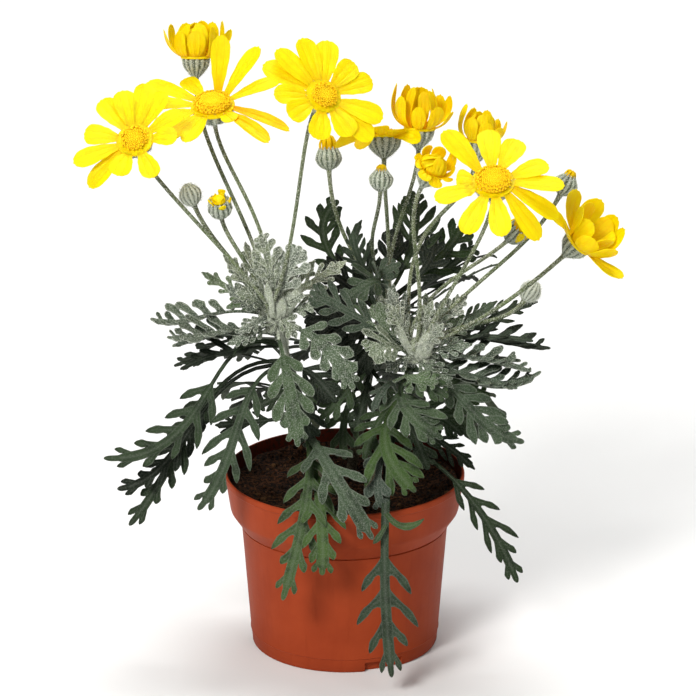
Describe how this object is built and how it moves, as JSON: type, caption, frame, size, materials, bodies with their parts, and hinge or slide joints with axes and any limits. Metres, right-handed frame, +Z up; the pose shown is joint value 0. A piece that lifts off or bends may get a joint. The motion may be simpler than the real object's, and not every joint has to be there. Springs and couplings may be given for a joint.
{
  "type": "potted flowering plant",
  "caption": "Gray-leaved euryops in a round tapered plastic pot: leafy shoots with cut silvery leaves, tall stalks, yellow daisy blooms and buds above dark potting soil.",
  "frame": {"origin": "middle of the pot's flat base, on the surface that it stands on", "axes": "+Z up, along the height of the plant; the plant's front looks along -Y; +X to the right of someone who looks at the front"},
  "size_m": [0.2714, 0.1708, 0.3174],
  "materials": {
    "pot": "terracotta-coloured injection-moulded plastic, satin",
    "soil": "dark fibrous potting soil, crumbly and dull",
    "leaf": "gray-green living leaf with fine woolly hairs, soft sheen",
    "petal": "bright yellow petal, silky, with fine grooves",
    "disc": "golden yellow florets, grainy",
    "tip": "orange-yellow folded petals"
  },
  "bodies": {
    "root": {"pot": "pot", "soil": "soil", "shoot_left": "leaf", "shoot_right": "leaf", "shoot_back": "leaf", "rays_a": "petal", "disc_a": "disc", "rays_b": "petal", "disc_b": "disc", "rays_c": "petal", "disc_c": "disc", "rays_d": "petal", "disc_d": "disc", "rays_e": "petal", "disc_e": "disc", "rays_f": "petal", "disc_f": "disc", "rays_g": "petal", "disc_g": "disc", "rays_h": "petal", "disc_h": "disc", "rays_i": "petal", "disc_i": "disc", "rays_j": "petal", "disc_j": "disc", "tip_k": "tip", "tip_l": "tip", "tip_n": "tip", "tip_o": "tip", "tip_p": "tip"}
  },
  "joints": []
}
